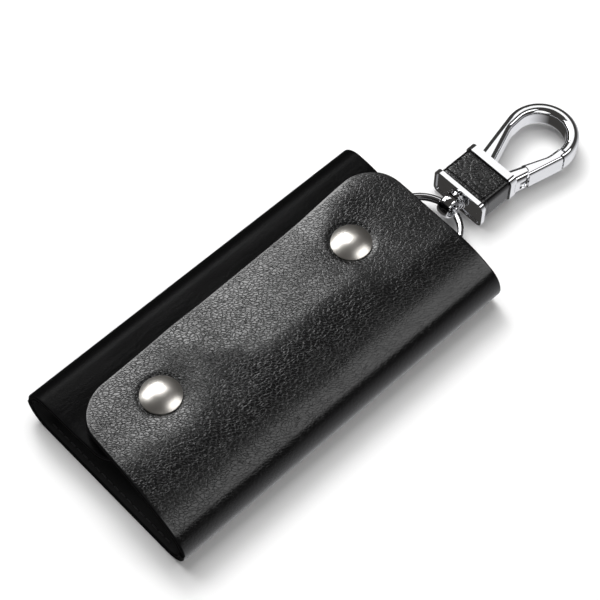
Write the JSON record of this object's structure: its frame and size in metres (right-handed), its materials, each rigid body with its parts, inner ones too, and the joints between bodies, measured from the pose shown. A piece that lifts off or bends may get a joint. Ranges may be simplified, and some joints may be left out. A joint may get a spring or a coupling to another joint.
{
  "type": "key organiser",
  "caption": "Wrap-over leather key case with snap closure, inner key hooks, and a split ring and swivel snap hook at one end.",
  "frame": {"origin": "centre of the case's flat back face", "axes": "+X along the case towards the snap hook, +Y towards the inner flap's fold, +Z out of the back towards the snap caps"},
  "size_m": [0.1793, 0.0642, 0.0191],
  "materials": {
    "black_leather": "pebbled semi-gloss",
    "lining": "smooth matte",
    "cap_nickel": "polished nickel",
    "nickel_steel": "nickel plated",
    "spring_steel": "bright",
    "ring_steel": "polished",
    "hardware_chrome": "mirror polished"
  },
  "bodies": {
    "case": {"back_leather": "black_leather", "back_lining": "lining", "key_plate": "nickel_steel", "key_rod": "nickel_steel", "plate_rivet_left": "nickel_steel", "plate_rivet_right": "nickel_steel", "ring_tab": "black_leather", "tab_rivet": "nickel_steel"},
    "right_spine": {"right_spine_leather": "black_leather", "right_spine_lining": "lining"},
    "outer_flap": {"outer_flap_leather": "black_leather", "outer_flap_lining": "lining", "snap_cap_near": "cap_nickel", "snap_cap_far": "cap_nickel", "snap_socket_near": "nickel_steel", "snap_socket_far": "nickel_steel"},
    "left_spine": {"left_spine_leather": "black_leather", "left_spine_lining": "lining"},
    "inner_flap": {"inner_flap_leather": "black_leather", "inner_flap_lining": "lining", "snap_stud_near": "nickel_steel", "snap_stud_far": "nickel_steel", "snap_post_near": "nickel_steel", "snap_post_far": "nickel_steel"},
    "ring": {"split_ring": "ring_steel"},
    "swivel": {"swivel_eye": "hardware_chrome"},
    "hook": {"near_plate": "hardware_chrome", "keeper_leather": "black_leather", "hook_frame": "hardware_chrome", "gate_pin": "hardware_chrome", "gate_spring": "spring_steel"},
    "gate": {"gate": "hardware_chrome"},
    "key_hook_1": {"key_hook_1": "nickel_steel"},
    "key_latch_1": {"key_latch_1": "spring_steel"},
    "key_hook_2": {"key_hook_2": "nickel_steel"},
    "key_latch_2": {"key_latch_2": "spring_steel"},
    "key_hook_3": {"key_hook_3": "nickel_steel"},
    "key_latch_3": {"key_latch_3": "spring_steel"},
    "key_hook_4": {"key_hook_4": "nickel_steel"},
    "key_latch_4": {"key_latch_4": "spring_steel"},
    "key_hook_5": {"key_hook_5": "nickel_steel"},
    "key_latch_5": {"key_latch_5": "spring_steel"},
    "key_hook_6": {"key_hook_6": "nickel_steel"},
    "key_latch_6": {"key_latch_6": "spring_steel"}
  },
  "joints": [
    {"name": "right_fold_lower", "type": "hinge", "parent": "case", "child": "right_spine", "pos_m": [0, -0.03106, 0.0035], "axis": [1, 0, 0], "range_deg": [0, 85]},
    {"name": "right_fold_upper", "type": "hinge", "parent": "right_spine", "child": "outer_flap", "pos_m": [0, -0.03106, 0.0105], "axis": [1, 0, 0], "range_deg": [0, 85]},
    {"name": "left_fold_lower", "type": "hinge", "parent": "case", "child": "left_spine", "pos_m": [0, 0.03123, 0.0036], "axis": [-1, 0, 0], "range_deg": [0, 76.5]},
    {"name": "left_fold_upper", "type": "hinge", "parent": "left_spine", "child": "inner_flap", "pos_m": [0, 0.03123, 0.0108], "axis": [-1, 0, 0], "range_deg": [0, 76.5]},
    {"name": "ring_swing", "type": "hinge", "parent": "case", "child": "ring", "pos_m": [0.04785, -0.0009, 0.0043], "axis": [0, -1, 0], "range_deg": [-3, 20]},
    {"name": "eye_pitch", "type": "hinge", "parent": "ring", "child": "swivel", "pos_m": [0.0708, -0.0009, 0.0043], "axis": [0, -1, 0], "range_deg": [0, 100]},
    {"name": "hook_swivel", "type": "hinge", "parent": "swivel", "child": "hook", "pos_m": [0.0752, -0.0009, 0.0049], "axis": [1, 0, 0], "continuous": true},
    {"name": "gate_hinge", "type": "hinge", "parent": "hook", "child": "gate", "pos_m": [0.0926, -0.00825, 0.0049], "axis": [0, 0, 1], "range_deg": [0, 20], "stiffness_Nm_per_rad": 0.02, "springref_deg": -20.05},
    {"name": "key_lift_1", "type": "hinge", "parent": "case", "child": "key_hook_1", "pos_m": [0.0285, -0.0175, 0.0046], "axis": [0, 1, 0], "range_deg": [0, 12]},
    {"name": "latch_hinge_1", "type": "hinge", "parent": "key_hook_1", "child": "key_latch_1", "pos_m": [0.0194, -0.0196, 0.0046], "axis": [0, 0, -1], "range_deg": [0, 11], "stiffness_Nm_per_rad": 0.001, "springref_deg": -11.46},
    {"name": "key_lift_2", "type": "hinge", "parent": "case", "child": "key_hook_2", "pos_m": [0.0285, -0.0105, 0.0046], "axis": [0, 1, 0], "range_deg": [0, 12]},
    {"name": "latch_hinge_2", "type": "hinge", "parent": "key_hook_2", "child": "key_latch_2", "pos_m": [0.0194, -0.0126, 0.0046], "axis": [0, 0, -1], "range_deg": [0, 11], "stiffness_Nm_per_rad": 0.001, "springref_deg": -11.46},
    {"name": "key_lift_3", "type": "hinge", "parent": "case", "child": "key_hook_3", "pos_m": [0.0285, -0.0035, 0.0046], "axis": [0, 1, 0], "range_deg": [0, 12]},
    {"name": "latch_hinge_3", "type": "hinge", "parent": "key_hook_3", "child": "key_latch_3", "pos_m": [0.0194, -0.0056, 0.0046], "axis": [0, 0, -1], "range_deg": [0, 11], "stiffness_Nm_per_rad": 0.001, "springref_deg": -11.46},
    {"name": "key_lift_4", "type": "hinge", "parent": "case", "child": "key_hook_4", "pos_m": [0.0285, 0.0035, 0.0046], "axis": [0, 1, 0], "range_deg": [0, 12]},
    {"name": "latch_hinge_4", "type": "hinge", "parent": "key_hook_4", "child": "key_latch_4", "pos_m": [0.0194, 0.0014, 0.0046], "axis": [0, 0, -1], "range_deg": [0, 11], "stiffness_Nm_per_rad": 0.001, "springref_deg": -11.46},
    {"name": "key_lift_5", "type": "hinge", "parent": "case", "child": "key_hook_5", "pos_m": [0.0285, 0.0105, 0.0046], "axis": [0, 1, 0], "range_deg": [0, 12]},
    {"name": "latch_hinge_5", "type": "hinge", "parent": "key_hook_5", "child": "key_latch_5", "pos_m": [0.0194, 0.0084, 0.0046], "axis": [0, 0, -1], "range_deg": [0, 11], "stiffness_Nm_per_rad": 0.001, "springref_deg": -11.46},
    {"name": "key_lift_6", "type": "hinge", "parent": "case", "child": "key_hook_6", "pos_m": [0.0285, 0.0175, 0.0046], "axis": [0, 1, 0], "range_deg": [0, 12]},
    {"name": "latch_hinge_6", "type": "hinge", "parent": "key_hook_6", "child": "key_latch_6", "pos_m": [0.0194, 0.0154, 0.0046], "axis": [0, 0, -1], "range_deg": [0, 11], "stiffness_Nm_per_rad": 0.001, "springref_deg": -11.46}
  ],
  "couplings": [
    {"joint": "right_fold_upper", "follows": "right_fold_lower", "ratio": 1},
    {"joint": "left_fold_lower", "follows": "right_fold_lower", "ratio": 0.9},
    {"joint": "left_fold_upper", "follows": "right_fold_lower", "ratio": 0.9}
  ]
}
